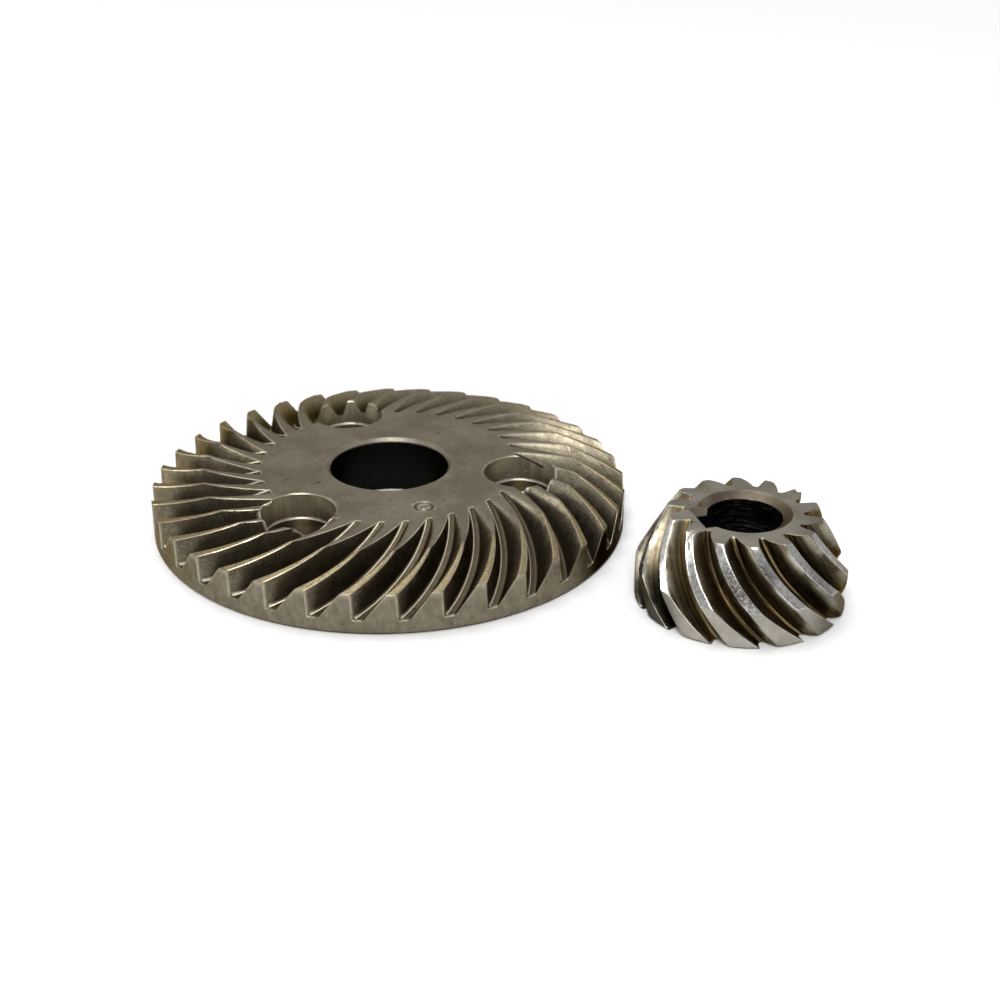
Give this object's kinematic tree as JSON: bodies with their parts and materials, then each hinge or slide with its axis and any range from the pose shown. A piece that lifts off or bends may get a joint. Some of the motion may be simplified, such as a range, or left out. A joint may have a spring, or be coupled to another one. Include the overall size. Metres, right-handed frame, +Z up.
{
  "type": "bevel gear pair",
  "caption": "Spiral bevel gear pair for a right-angle drive: a flat ring gear with blind pockets in its face, and a small keyed pinion.",
  "frame": {"origin": "middle of the pair's footprint, on the plane both gears rest on", "axes": "+Z up along both bores, away from the resting plane; +X along the longer side of the footprint, from the ring gear towards the pinion"},
  "size_m": [0.096, 0.071, 0.0126],
  "materials": {
    "ring_steel": "matt warm grey-brown steel with worn, brighter tooth edges and dark flanks",
    "pinion_steel": "ground and scuffed steel with straw-brown heat tint on the flanks"
  },
  "bodies": {
    "ring_gear": {"ring_gear": "ring_steel"},
    "pinion": {"pinion": "pinion_steel"}
  },
  "joints": [
    {"name": "pinion_spin", "type": "hinge", "parent": "ring_gear", "child": "pinion", "pos_m": [0.03402, -0.02145, 0], "axis": [0, 0, 1], "continuous": true}
  ]
}
